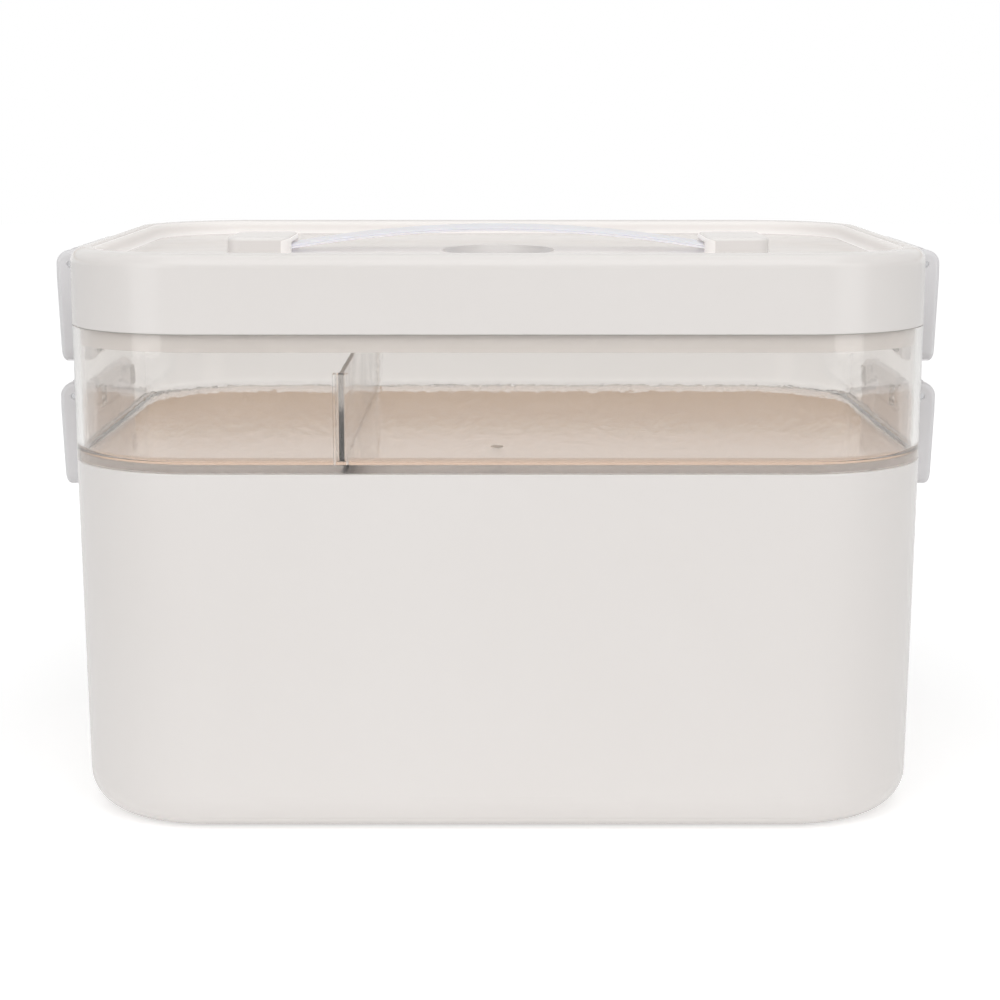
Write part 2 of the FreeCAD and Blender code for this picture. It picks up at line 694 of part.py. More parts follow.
faults = [thing.Name for thing in doc.Objects if "Invalid" in thing.State or "Error" in thing.State]
for part in sub_parts:
    if part.Shape.isNull() or not part.Shape.isValid() or not part.Shape.Solids:
        faults.append(part.Label)
if faults:
    raise ValueError("failed objects: " + ", ".join(faults))

os.makedirs("parts", exist_ok=True)
for part in sub_parts:
    part.Shape.exportStep(f"parts/{part.Label}.step")
    box = part.Shape.BoundBox
    print(f"{part.Label:22s} solids {len(part.Shape.Solids)}  volume {part.Shape.Volume:11.1f}  "
          f"x {box.XMin:8.2f} {box.XMax:8.2f}  "
          f"y {box.YMin:8.2f} {box.YMax:8.2f}  z {box.ZMin:8.2f} {box.ZMax:8.2f}")
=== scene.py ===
"""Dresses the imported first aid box: a glossy off-white base and lid, a clear tray with its
divider, a flexible strap and four side latches. Metres; the front of the box faces -Y."""

import math

import bpy
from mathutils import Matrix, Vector


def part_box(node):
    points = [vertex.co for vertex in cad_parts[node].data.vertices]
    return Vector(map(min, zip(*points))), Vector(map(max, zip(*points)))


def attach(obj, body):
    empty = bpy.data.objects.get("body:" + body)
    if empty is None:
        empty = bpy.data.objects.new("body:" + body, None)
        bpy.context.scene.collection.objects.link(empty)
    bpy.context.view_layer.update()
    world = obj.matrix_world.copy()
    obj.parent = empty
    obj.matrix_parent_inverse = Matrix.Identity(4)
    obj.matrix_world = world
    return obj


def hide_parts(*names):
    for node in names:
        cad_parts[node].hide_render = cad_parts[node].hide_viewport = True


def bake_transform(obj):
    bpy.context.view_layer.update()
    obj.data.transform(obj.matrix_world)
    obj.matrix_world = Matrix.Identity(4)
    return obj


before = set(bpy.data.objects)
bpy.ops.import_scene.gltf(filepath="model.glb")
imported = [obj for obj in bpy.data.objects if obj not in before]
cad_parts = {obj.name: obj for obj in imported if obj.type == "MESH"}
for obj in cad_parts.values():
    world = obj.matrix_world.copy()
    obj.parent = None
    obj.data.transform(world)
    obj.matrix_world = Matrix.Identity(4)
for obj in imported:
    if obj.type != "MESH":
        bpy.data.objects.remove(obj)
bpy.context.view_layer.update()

bl_info = {
    "name": "First aid box",
    "version": (1, 0, 0),
    "blender": (4, 5, 0),
    "location": "View3D > Sidebar > First aid box",
    "description": "Models and finishes the pieces of a first aid box around its packed solids",
    "category": "Object",
}

WHITE = (1.0, 1.0, 1.0, 1.0)
BLACK = (0.0, 0.0, 0.0, 1.0)

SMOOTH_ANGLE = math.radians(40)
MERGE_DISTANCE = 1e-6
SAME_PLACE = 1e-4
SAME_HEIGHT = 1e-5

# The gate mark's rounding and dent, as shares of its height, and its lip, as a share of its radius
GATE_ROUNDING = 0.6
GATE_DENT = 0.5
GATE_LIP = 0.45

# The stop at the end of the strap: its length, the step up to it, and its play in the block
STOP_LENGTH = 0.003
STOP_STEP = 0.0002
STOP_PLAY = 0.0002

# Solid plastic. The hollow side begins where a surface turns to the middle by this much.
PLASTIC_IOR = 1.5
PEEL_STRENGTH = 0.25
PEEL_DEPTH = 0.00002
SCRATCH_ROUGHNESS = 0.25
SCRATCH_DEPTH = -0.5
SUBSURFACE_RADIUS = (0.004, 0.003, 0.002)
HOLLOW_EDGE = 0.004
HOLLOW_ROUGHNESS = 0.5
# Depths below the base's rim over which its painted glow turns to the darker painted rim shade
PAINTED_RIM_SHADE_DEPTHS = (0.018, 0.010)

# Clear plastic
CLEAR_IOR = 1.49
CLEAR_PEEL_STRENGTH = 0.12
CLEAR_PEEL_DEPTH = 0.0001
CLEAR_SCRATCH_ROUGHNESS = 0.12
CLEAR_UNEVENNESS = 0.4
CLEAR_SHADOW_POWER = 0.3
CLEAR_BOUNCES = 28

# The faces of the tray's floor that are frosted: how far up they reach from the floor's level, and
# how much their normal points up or down where the frosting begins and where it is full
FLOOR_TOP = (0.0001, 0.85, 0.98)
FLOOR_UNDERSIDE = (-0.0010, 0.2, 0.5)
FROSTING_FADE = 0.0003

# The studio floor's own glow: its strength at two distances from the box, how much less of it shows
# in gloss and through clear plastic, and the level that it takes on as light for the box
FLOOR_DISTANCES = (0.2, 0.7)
FLOOR_GLOW = (0.38, 0.65)
FLOOR_GLOW_LESS = 0.45
FLOOR_BOUNCE = 0.60

# The warm band low in the sky: the heights of the ray where it fades in and out, and its colour
BAND_START = (0.095, 0.115)
BAND_END = (0.139, 0.146)
BAND_COLOUR = (0.46, 0.34, 0.23, 1.0)


def colour(name, description, default):
    return bpy.props.FloatVectorProperty(
        name=name, description=description, subtype="COLOR", size=4, min=0, max=1, default=default)


def length(name, description, default):
    return bpy.props.FloatProperty(
        name=name, description=description, default=default, min=0, precision=4,
        unit="LENGTH", subtype="DISTANCE")


class BoxColours(bpy.types.PropertyGroup):
    """Colours of the finishes, with the painted glow and painted shade inside the base"""

    shell: colour("Shell", "Off-white plastic of the base and the lid", (0.80, 0.768, 0.745, 1))
    cover: colour("Blocks", "Lighter plastic of the handle's blocks", (0.86, 0.83, 0.81, 1))
    # The inside's matt roughness is real; its warmer tone is painted shade, for the dim light in
    # the closed base
    inside: colour("Inside", "Matt finish inside the base", (0.80, 0.75, 0.71, 1))
    # Painted light: the base's hollow side glows in this colour, seen only through the tray
    painted_glow: colour("Glow", "Light through the base's wall, seen through the tray",
                 (0.64, 0.50, 0.41, 1))
    # Painted shade: a darker glow just below the base's rim
    painted_rim_shade: colour("Rim glow", "The same just below the base's rim", (0.44, 0.29, 0.18, 1))
    latch: colour("Latches", "Cooler white plastic of the latches", (0.75, 0.74, 0.75, 1))
    strap: colour("Strap", "Cool white flexible plastic of the strap", (0.84, 0.835, 0.875, 1))
    clear: colour("Clear plastic", "Tint of the tray and its divider", (0.93, 0.91, 0.89, 1))
    gate: colour("Gate mark", "Cloudy mark on the tray's floor", (0.62, 0.56, 0.50, 1))
    seal: colour("Seal", "Soft rubber of the lid's seal", (0.70, 0.70, 0.69, 1))
    steel: colour("Steel", "Hinge pins and screws", (0.62, 0.62, 0.63, 1))
    backdrop: colour("Backdrop", "Studio floor", (0.86, 0.86, 0.86, 1))


class BoxSizes(bpy.types.PropertyGroup):
    """Sizes of the pieces that are modelled here"""

    strap_edge: length("Strap edge", "Rounding along the edges of the strap", 0.0009)
    bend_length: length("Bend", "Length of the strap that bends at a joint", 0.024)
    gate_radius: length("Gate mark", "Radius of the mark on the tray's floor", 0.0024)
    gate_height: length("Gate mark height", "How far that mark stands up", 0.00015)
    gate_place: bpy.props.FloatVectorProperty(
        name="Gate mark place", description="Where that mark is on the floor", size=2,
        subtype="XYZ", unit="LENGTH", default=(-0.0003, -0.0687))
    bow_steps: bpy.props.IntProperty(
        name="Bow steps", description="Cross sections along half of the strap", default=40, min=8)


class BoxStudio(bpy.types.PropertyGroup):
    """Light and camera"""

    key: bpy.props.FloatProperty(
        name="Key", description="Large soft lamp above the front", default=8.4, min=0, unit="POWER")
    top: bpy.props.FloatProperty(
        name="Top", description="Soft lamp overhead", default=3.4, min=0, unit="POWER")
    front: bpy.props.FloatProperty(
        name="Front", description="Soft lamp beside the camera", default=0.2, min=0, unit="POWER")
    strips: bpy.props.FloatProperty(
        name="Strips", description="Upright lamps at both sides", default=2.0, min=0, unit="POWER")
    sky: bpy.props.FloatProperty(
        name="Sky", description="Even light from all round", default=0.44, min=0)
    focal_length: bpy.props.FloatProperty(
        name="Focal length", description="Lens of the camera", default=81.5, unit="CAMERA")
    camera_place: bpy.props.FloatVectorProperty(
        name="Camera", description="Place of the camera", size=3, subtype="XYZ", unit="LENGTH",
        default=(0.00076, -0.8854, 0.25496))
    camera_tilt: bpy.props.FloatProperty(
        name="Tilt", description="How far the camera looks down", default=math.radians(9.92),
        unit="ROTATION", subtype="ANGLE")


# Modelling

def deselect_all():
    if bpy.context.object and bpy.context.object.mode != "OBJECT":
        bpy.ops.object.mode_set(mode="OBJECT")
    bpy.ops.object.select_all(action="DESELECT")


def name_piece(name):
    piece = bpy.context.object
    piece.name = name
    piece.data.name = name
    return piece


def select_faces(piece, test):
    """Select the faces whose middle passes the test, and nothing else. Leaves face mode on."""
    bpy.ops.object.mode_set(mode="EDIT")
    bpy.ops.mesh.select_mode(type="FACE")
    bpy.ops.mesh.select_all(action="DESELECT")
    bpy.ops.object.mode_set(mode="OBJECT")
    for face in piece.data.polygons:
        face.select = test(face.center, face.normal)
    bpy.ops.object.mode_set(mode="EDIT")


def draw_on(*step):
    """Extrude the selected faces by a step in X, Y and Z."""
    bpy.ops.mesh.extrude_region_move(TRANSFORM_OT_translate={"value": step})


def finish_piece(piece, material):
    """Bring the place into the mesh, shade it and give it its finish."""
    deselect_all()
    piece.select_set(True)
    bpy.context.view_layer.objects.active = piece
    bpy.ops.object.transform_apply(location=True, rotation=True, scale=True)
    bpy.ops.object.shade_smooth_by_angle(angle=SMOOTH_ANGLE)
    piece.data.materials.clear()
    piece.data.materials.append(material)


# Shader building

def new_group(name, inputs, outputs):
    """An empty shader node group with named sockets: (name, kind, default)."""
    group = bpy.data.node_groups.new(name, "ShaderNodeTree")
    for label, kind, default in inputs:
        socket = group.interface.new_socket(name=label, in_out="INPUT", socket_type=kind)
        socket.default_value = default
    for label, kind in outputs:
        group.interface.new_socket(name=label, in_out="OUTPUT", socket_type=kind)
    return group, group.nodes.new("NodeGroupInput"), group.nodes.new("NodeGroupOutput")


def noise(tree, vector, scale, detail=2.0, stretch=(1, 1, 1)):
    """Noise over the surface, optionally stretched along the object's axes."""
    mapping = tree.nodes.new("ShaderNodeMapping")
    mapping.inputs["Scale"].default_value = stretch
    texture = tree.nodes.new("ShaderNodeTexNoise")
    texture.inputs["Scale"].default_value = scale
    texture.inputs["Detail"].default_value = detail
    tree.links.new(vector, mapping.inputs["Vector"])
    tree.links.new(mapping.outputs["Vector"], texture.inputs["Vector"])
    return texture.outputs["Fac"]


def spread(tree, source, low, high, to_low=0.0, to_high=1.0):
    """Map a range of a value onto another one."""
    node = tree.nodes.new("ShaderNodeMapRange")
    tree.links.new(source, node.inputs["Value"])
    ends = {"From Min": low, "From Max": high, "To Min": to_low, "To Max": to_high}
    for label, number in ends.items():
        node.inputs[label].default_value = number
    return node.outputs["Result"]


def math_node(tree, operation, first, second):
    node = tree.nodes.new("ShaderNodeMath")
    node.operation = operation
    for socket, source in zip(node.inputs, (first, second)):
        if isinstance(source, (int, float)):
            socket.default_value = source
        else:
            tree.links.new(source, socket)
    return node.outputs["Value"]


def mix_colours(tree, factor, first, second):
    node = tree.nodes.new("ShaderNodeMix")
    node.data_type = "RGBA"
    for label, source in (("Factor", factor), ("A", first), ("B", second)):
        socket = next(s for s in node.inputs if s.name == label and s.enabled)
        if isinstance(source, (tuple, float)):
            socket.default_value = source
        else:
            tree.links.new(source, socket)
    return next(s for s in node.outputs if s.enabled)


def build_moulded_finish():
    """Group: how a moulded surface varies in tone and gloss, with its faint orange peel."""
    tree, given, out = new_group(
        "Moulded finish",
        [("Colour", "NodeSocketColor", (0.8, 0.8, 0.8, 1)), ("Roughness", "NodeSocketFloat", 0.3),
         ("Unevenness", "NodeSocketFloat", 0.05)],
        [("Colour", "NodeSocketColor"), ("Roughness", "NodeSocketFloat"),
         ("Height", "NodeSocketFloat")])
    place = tree.nodes.new("ShaderNodeTexCoord").outputs["Object"]
    clouds = spread(tree, noise(tree, place, 9.0, 2.0), 0.3, 0.7)
    shade = tree.nodes.new("ShaderNodeHueSaturation")
    shade.inputs["Saturation"].default_value = 1.08
    shade.inputs["Value"].default_value = 0.985
    tree.links.new(given.outputs["Colour"], shade.inputs["Color"])
    tone = mix_colours(tree, clouds, given.outputs["Colour"], shade.outputs["Color"])
    blotches = spread(tree, noise(tree, place, 45.0, 4.0), 0.3, 0.7, -1.0, 1.0)
    change = math_node(tree, "MULTIPLY", blotches, given.outputs["Unevenness"])
    rough = math_node(tree, "ADD", given.outputs["Roughness"], change)
    peel = noise(tree, place, 420.0, 2.0)
    tree.links.new(tone, out.inputs["Colour"])
    tree.links.new(rough, out.inputs["Roughness"])
    tree.links.new(peel, out.inputs["Height"])
    return tree


def build_handling_marks():
    """Group: fine scratches along and across the box, as a share from 0 to 1."""
    tree, given, out = new_group(
        "Handling marks", [("Amount", "NodeSocketFloat", 0.5)], [("Marks", "NodeSocketFloat")])
    place = tree.nodes.new("ShaderNodeTexCoord").outputs["Object"]
    along = spread(tree, noise(tree, place, 60.0, 4.0, (1, 1, 26)), 0.62, 0.70)
    across = spread(tree, noise(tree, place, 55.0, 4.0, (22, 5, 2)), 0.64, 0.72)
    patches = spread(tree, noise(tree, place, 9.0, 1.0), 0.45, 0.65)
    lines = math_node(tree, "MAXIMUM", along, across)
    patchy = math_node(tree, "MULTIPLY", lines, patches)
    marks = math_node(tree, "MULTIPLY", patchy, given.outputs["Amount"])
    tree.links.new(marks, out.inputs["Marks"])
    return tree


def place_group(tree, group, **values):
    node = tree.nodes.new("ShaderNodeGroup")
    node.node_tree = group
    for label, value in values.items():
        node.inputs[label].default_value = value
    return node


def new_material(name):
    """A material with its Principled BSDF, and a bump node that feeds its normal."""
    material = bpy.data.materials.new(name)
    material.use_nodes = True
    tree = material.node_tree
    surface = tree.nodes["Principled BSDF"]
    bump = tree.nodes.new("ShaderNodeBump")
    tree.links.new(bump.outputs["Normal"], surface.inputs["Normal"])
    return material, tree, surface, bump


def facing(tree, centre):
    """How far a surface faces a point of the object: above 0 inside a hollow, below 0 outside."""
    place = tree.nodes.new("ShaderNodeTexCoord")
    aim = tree.nodes.new("ShaderNodeVectorMath")
    aim.operation = "SUBTRACT"
    aim.inputs[0].default_value = centre
    tree.links.new(place.outputs["Object"], aim.inputs[1])
    dot = tree.nodes.new("ShaderNodeVectorMath")
    dot.operation = "DOT_PRODUCT"
    tree.links.new(place.outputs["Normal"], dot.inputs[0])
    tree.links.new(aim.outputs["Vector"], dot.inputs[1])
    return dot.outputs["Value"]


def floor_mask(tree, floor, reach, steep, flat):
    """1 on faces that lie flatter than a slope and no higher than the floor and a reach above it,
    0 elsewhere."""
    level = floor + reach
    place = tree.nodes.new("ShaderNodeTexCoord")
    normal = tree.nodes.new("ShaderNodeSeparateXYZ")
    tree.links.new(place.outputs["Normal"], normal.inputs["Vector"])
    point = tree.nodes.new("ShaderNodeSeparateXYZ")
    tree.links.new(place.outputs["Object"], point.inputs["Vector"])
    lies = spread(tree, math_node(tree, "ABSOLUTE", normal.outputs["Z"], 0.0), steep, flat)
    low = spread(tree, point.outputs["Z"], level, level + FROSTING_FADE, 1.0, 0.0)
    return math_node(tree, "MULTIPLY", lies, low)


def add_painted_glow(tree, surface, hollow, painted_light_colour, strength):
    """Painted light: let the hollow side glow by emission, standing in for the light that comes
    through the thin plastic.
    """
    tree.links.new(mix_colours(tree, hollow, BLACK, painted_light_colour), surface.inputs["Emission Color"])
    surface.inputs["Emission Strength"].default_value = strength


def painted_glow_behind_clear(tree, surface, strength):
    """Keep the painted glow to what is seen through clear plastic."""
    behind_clear = tree.nodes.new("ShaderNodeLightPath").outputs["Is Transmission Ray"]
    tree.links.new(math_node(tree, "MULTIPLY", behind_clear, strength),
                   surface.inputs["Emission Strength"])


def paint_rim_shade(tree, rim, below, near):
    """Painted shade on the painted glow: one colour below the rim's level, and another, darker one
    near it.
    """
    place = tree.nodes.new("ShaderNodeTexCoord").outputs["Object"]
    point = tree.nodes.new("ShaderNodeSeparateXYZ")
    tree.links.new(place, point.inputs["Vector"])
    start, end = (rim - depth for depth in PAINTED_RIM_SHADE_DEPTHS)
    return mix_colours(tree, spread(tree, point.outputs["Z"], start, end), below, near)


def plastic(name, tint, roughness, unevenness, peel_depth, marks_amount, soft=0.0, inside=None,
            painted_glow_tint=None, painted_rim_shade_tint=None, centre=(0, 0, 0), painted_glow=0.0):
    """Moulded plastic: tone, gloss, orange peel and handling marks. Its hollow side, which faces
    the centre, may have another tone (in the base a warmer tone of painted shade) and a glow of
    painted light. With a tint of its own the glow, darkened near the rim as painted shade, shows
    only through clear plastic."""
    material, tree, surface, bump = new_material(name)
    finish = place_group(tree, bpy.data.node_groups["Moulded finish"], Colour=tint,
                         Roughness=roughness, Unevenness=unevenness)
    marks = place_group(tree, bpy.data.node_groups["Handling marks"], Amount=marks_amount)
    scuffed = math_node(tree, "MULTIPLY", marks.outputs["Marks"], SCRATCH_ROUGHNESS)
    rough = math_node(tree, "ADD", finish.outputs["Roughness"], scuffed)
    cut = math_node(tree, "MULTIPLY", marks.outputs["Marks"], SCRATCH_DEPTH)
    height = math_node(tree, "ADD", finish.outputs["Height"], cut)
    tone = finish.outputs["Colour"]
    # The hollow side: another tone, a matt finish, and a glow of painted light
    if inside:
        hollow = spread(tree, facing(tree, centre), 0.0, HOLLOW_EDGE)
        tone = mix_colours(tree, hollow, tone, inside)
        matt = math_node(tree, "MULTIPLY", hollow, HOLLOW_ROUGHNESS)
        rough = math_node(tree, "MAXIMUM", rough, matt)
        if painted_glow_tint:
            painted_light_colour = paint_rim_shade(tree, centre[2], painted_glow_tint, painted_rim_shade_tint)
            add_painted_glow(tree, surface, hollow, painted_light_colour, painted_glow)
            painted_glow_behind_clear(tree, surface, painted_glow)
        else:
            add_painted_glow(tree, surface, hollow, inside, painted_glow)
    tree.links.new(tone, surface.inputs["Base Color"])
    tree.links.new(rough, surface.inputs["Roughness"])
    tree.links.new(height, bump.inputs["Height"])
    bump.inputs["Strength"].default_value = PEEL_STRENGTH
    bump.inputs["Distance"].default_value = peel_depth
    surface.inputs["IOR"].default_value = PLASTIC_IOR
    surface.inputs["Subsurface Weight"].default_value = soft
    surface.inputs["Subsurface Radius"].default_value = SUBSURFACE_RADIUS
    return material


def clear_plastic(name, tint, roughness, marks_amount, frosting=(), floor=0.0):
    """Clear plastic that lets the lamps' light through, with faint marks and perhaps a floor
    frosted on its top and, more so, underneath."""
    material, tree, surface, bump = new_material(name)
    finish = place_group(tree, bpy.data.node_groups["Moulded finish"], Colour=tint,
                         Roughness=roughness, Unevenness=roughness * CLEAR_UNEVENNESS)
    marks = place_group(tree, bpy.data.node_groups["Handling marks"], Amount=marks_amount)
    scuffed = math_node(tree, "MULTIPLY", marks.outputs["Marks"], CLEAR_SCRATCH_ROUGHNESS)
    rough = math_node(tree, "ADD", finish.outputs["Roughness"], scuffed)
    if frosting:
        top = floor_mask(tree, floor, *FLOOR_TOP)
        underside = floor_mask(tree, floor, *FLOOR_UNDERSIDE)
        above = math_node(tree, "MULTIPLY", top, frosting[0])
        below = math_node(tree, "MULTIPLY", underside, frosting[1])
        rough = math_node(tree, "MAXIMUM", rough, math_node(tree, "MAXIMUM", above, below))
    tree.links.new(finish.outputs["Colour"], surface.inputs["Base Color"])
    tree.links.new(rough, surface.inputs["Roughness"])
    tree.links.new(finish.outputs["Height"], bump.inputs["Height"])
    bump.inputs["Strength"].default_value = CLEAR_PEEL_STRENGTH
    bump.inputs["Distance"].default_value = CLEAR_PEEL_DEPTH
    surface.inputs["IOR"].default_value = CLEAR_IOR
    surface.inputs["Transmission Weight"].default_value = 1.0
    through = tree.nodes.new("ShaderNodeBsdfTransparent")
    pale = tuple(channel ** CLEAR_SHADOW_POWER for channel in tint[:3])
    through.inputs["Color"].default_value = pale + (1.0,)
    path = tree.nodes.new("ShaderNodeLightPath")
    choice = tree.nodes.new("ShaderNodeMixShader")
    output = tree.nodes["Material Output"]
    tree.links.new(path.outputs["Is Shadow Ray"], choice.inputs["Fac"])
    tree.links.new(surface.outputs["BSDF"], choice.inputs[1])
    tree.links.new(through.outputs["BSDF"], choice.inputs[2])
    tree.links.new(choice.outputs["Shader"], output.inputs["Surface"])
    return material


def drawn_steel(name, tint):
    """Bright drawn wire, with its drawing lines along the pin."""
    material, tree, surface, bump = new_material(name)
    place = tree.nodes.new("ShaderNodeTexCoord").outputs["Object"]
    lines = noise(tree, place, 900.0, 3.0, (1, 0.02, 1))
    tree.links.new(spread(tree, lines, 0.3, 0.7, 0.18, 0.34), surface.inputs["Roughness"])
    tree.links.new(lines, bump.inputs["Height"])
    bump.inputs["Strength"].default_value = 0.2
    bump.inputs["Distance"].default_value = 0.00005
    shade = mix_colours(tree, lines, tint, tuple(0.85 * c for c in tint[:3]) + (1.0,))
    tree.links.new(shade, surface.inputs["Base Color"])
    surface.inputs["Metallic"].default_value = 1.0
    return material


def dress(node_name, material):
    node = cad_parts[node_name]
    node.data.materials.clear()
    node.data.materials.append(material)


# Operators

class BOX_OT_finishes(bpy.types.Operator):
    """Make the finishes that the pieces share"""

    bl_idname = "first_aid_box.finishes"
    bl_label = "Finishes"

    def execute(self, context):
        colours = context.scene.box_colours
        build_moulded_finish()
        build_handling_marks()
        middle = (0, 0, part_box("base_box")[1].z)
        # The hollow sides of the lid, the blocks, the latches and the strap glow faintly: painted
        # light that lifts their shade
        plastic("Off-white shell", tuple(colours.shell), 0.18, 0.02, PEEL_DEPTH, 0.2,
                inside=tuple(colours.shell), centre=middle, painted_glow=0.2)
        plastic("Off-white cover", tuple(colours.cover), 0.2, 0.02, PEEL_DEPTH, 0.15,
                inside=tuple(colours.cover), centre=middle, painted_glow=0.2)
        # The base's inside: a warmer tone of painted shade, and a painted glow, darker near the
        # rim, seen only through the tray
        plastic("Off-white base", tuple(colours.shell), 0.18, 0.02, PEEL_DEPTH, 0.25,
                inside=tuple(colours.inside), painted_glow_tint=tuple(colours.painted_glow),
                painted_rim_shade_tint=tuple(colours.painted_rim_shade), centre=middle, painted_glow=1.0)
        plastic("White latch", tuple(colours.latch), 0.30, 0.03, PEEL_DEPTH, 0.3,
                inside=tuple(colours.latch), centre=middle, painted_glow=0.3)
        plastic("Cool white strap", tuple(colours.strap), 0.35, 0.03, PEEL_DEPTH, 0.1, soft=0.3,
                inside=tuple(colours.strap), centre=middle, painted_glow=0.3)
        plastic("Silicone seal", tuple(colours.seal), 0.62, 0.06, 5 * PEEL_DEPTH, 0.2)
        clear_plastic("Clear tray", tuple(colours.clear), 0.02, 0.5, frosting=(0.05, 0.25),
                      floor=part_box("tray_divider")[0].z)
        clear_plastic("Clear divider", tuple(colours.clear), 0.13, 0.7)
        plastic("Gate scar", tuple(colours.gate), 0.45, 0.05, PEEL_DEPTH, 0.2)
        drawn_steel("Drawn steel", tuple(colours.steel))
        return {"FINISHED"}


class BOX_OT_shells(bpy.types.Operator):
    """Finish the base, the lid with its seal, and the handle blocks"""

    bl_idname = "first_aid_box.shells"
    bl_label = "Base and lid"

    def execute(self, context):
        materials = bpy.data.materials
        dress("base_box", materials["Off-white base"])
        dress("lid", materials["Off-white shell"])
        dress("handle_block_right", materials["Off-white cover"])
        dress("handle_block_left", materials["Off-white cover"])
        dress("lid_seal", materials["Silicone seal"])
        return {"FINISHED"}


class BOX_OT_tray(bpy.types.Operator):
    """Finish the clear tray and its divider"""

    bl_idname = "first_aid_box.tray"
    bl_label = "Clear tray"

    def execute(self, context):
        dress("tray", bpy.data.materials["Clear tray"])
        dress("tray_divider", bpy.data.materials["Clear divider"])
        self.add_gate_mark(context.scene.box_sizes)
        return {"FINISHED"}

    def add_gate_mark(self, sizes):
        """The small round mark that the mould's gate leaves on the tray's floor."""
        deselect_all()
        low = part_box("tray_divider")[0].z
        height = sizes.gate_height
        bpy.ops.mesh.primitive_cylinder_add(
            vertices=40, radius=sizes.gate_radius, depth=height,
            location=(sizes.gate_place[0], sizes.gate_place[1], low + height / 2))
        mark = name_piece("tray_gate_mark")
        bpy.ops.object.transform_apply(location=True, rotation=True, scale=True)
        top = low + height
        select_faces(mark, lambda middle, normal: middle.z > top - SAME_HEIGHT)
        bpy.ops.mesh.bevel(offset=height * GATE_ROUNDING, segments=3, affect="EDGES")
        select_faces(mark, lambda middle, normal: normal.z > 0.99)
        bpy.ops.mesh.inset(thickness=sizes.gate_radius * GATE_LIP)
        draw_on(0, 0, -height * GATE_DENT)
        bpy.ops.object.mode_set(mode="OBJECT")
        finish_piece(mark, bpy.data.materials["Gate scar"])
        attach(mark, "tray")


class BOX_OT_latches(bpy.types.Operator):
    """Finish the four latches, their pins and the screws of the blocks"""

    bl_idname = "first_aid_box.latches"
    bl_label = "Latches"

    def execute(self, context):
        for side in ("right", "left"):
            for level in ("upper", "lower"):
                dress(f"{level}_latch_{side}", bpy.data.materials["White latch"])
                dress(f"{level}_pin_{side}", bpy.data.materials["Drawn steel"])
        dress("handle_screws", bpy.data.materials["Drawn steel"])
        return {"FINISHED"}


def strap_line():
    """Where the bowed strap runs: its reach to the outer bend, its thickness, and the centre's
    height and the radius of its middle line."""
    low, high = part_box("handle_grip")
    arm_low, arm_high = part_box("handle_arm_right")
    tongue_low, tongue_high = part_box("handle_tongue_right")
    thickness = tongue_high.z - tongue_low.z
    top = high.z - thickness / 2
    reach = (arm_high.x + tongue_low.x) / 2
    end = (tongue_low.z + tongue_high.z) / 2
    rise = top - end
    radius = (reach ** 2 + rise ** 2) / (2 * rise)
    return reach, thickness, top - radius, radius


class BOX_OT_strap(bpy.types.Operator):
    """Model the flexible strap as four bowed lengths in place of its grip, arms and tongues"""

    bl_idname = "first_aid_box.strap"
    bl_label = "Handle strap"

    def execute(self, context):
        sizes = context.scene.box_sizes
        reach, thickness, centre, radius = strap_line()
        grip_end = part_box("handle_grip")[1].x
        half_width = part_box("handle_grip")[1].y
        seam = (grip_end + reach) / 2
        material = bpy.data.materials["Cool white strap"]
        for side, name in ((1, "right"), (-1, "left")):
            inner = self.bowed_length(f"strap_inner_{name}", side, 0.0, seam, thickness,
                                      half_width, centre, radius, sizes)
            finish_piece(inner, material)
            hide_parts("handle_grip", f"handle_arm_{name}")
            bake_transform(inner)
            outer = self.bowed_length(f"strap_outer_{name}", side, seam, reach, thickness,
                                      half_width, centre, radius, sizes)
            self.add_tongue(outer, side, reach)
            finish_piece(outer, material)
            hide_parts(f"handle_tongue_{name}")
            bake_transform(outer)
        return {"FINISHED"}

    def bowed_length(self, name, side, start, end, thickness, half_width, centre, radius, sizes):
        """A rounded cross section at start, spun about the bow's centre to end."""
        deselect_all()
        turn = math.asin(start / radius)
        bpy.ops.mesh.primitive_plane_add(size=1, location=(0, 0, centre + radius),
                                         rotation=(0, math.pi / 2, 0))
        piece = name_piece(name)
        bpy.ops.object.transform_apply(location=True, rotation=True, scale=True)
        bpy.ops.object.mode_set(mode="EDIT")
        bpy.ops.mesh.select_all(action="SELECT")
        bpy.ops.transform.resize(value=(1, 2 * half_width, thickness),
                                 center_override=(0, 0, centre + radius))
        bpy.ops.mesh.bevel(offset=sizes.strap_edge, segments=4, affect="VERTICES")
        bpy.ops.transform.rotate(value=-side * turn, orient_axis="Y",
                                 center_override=(0, 0, centre))
        sweep = math.asin(end / radius) - turn
        bpy.ops.mesh.spin(steps=sizes.bow_steps, angle=-side * sweep, center=(0, 0, centre),
                          axis=(0, 1, 0))
        bpy.ops.mesh.select_all(action="SELECT")
        bpy.ops.mesh.remove_doubles(threshold=MERGE_DISTANCE)
        bpy.ops.mesh.normals_make_consistent(inside=False)
        bpy.ops.object.mode_set(mode="OBJECT")
        return piece

    def add_tongue(self, piece, side, reach):
        """Draw the strap's end on into its block, and widen it there to a stop."""
        stop_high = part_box("handle_tongue_right")[1]
        select_faces(piece, lambda middle, normal: (
            abs(abs(middle.x) - reach) < SAME_PLACE and abs(normal.x) > 0.9))
        draw_on(side * (stop_high.x - STOP_LENGTH - reach), 0, 0)
        draw_on(side * STOP_STEP, 0, 0)
        grow = stop_high.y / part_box("handle_grip")[1].y
        bpy.ops.transform.resize(value=(1, grow, 1), center_override=(0, 0, 0))
        draw_on(side * (STOP_LENGTH - STOP_STEP - STOP_PLAY), 0, 0)
        bpy.ops.object.mode_set(mode="OBJECT")


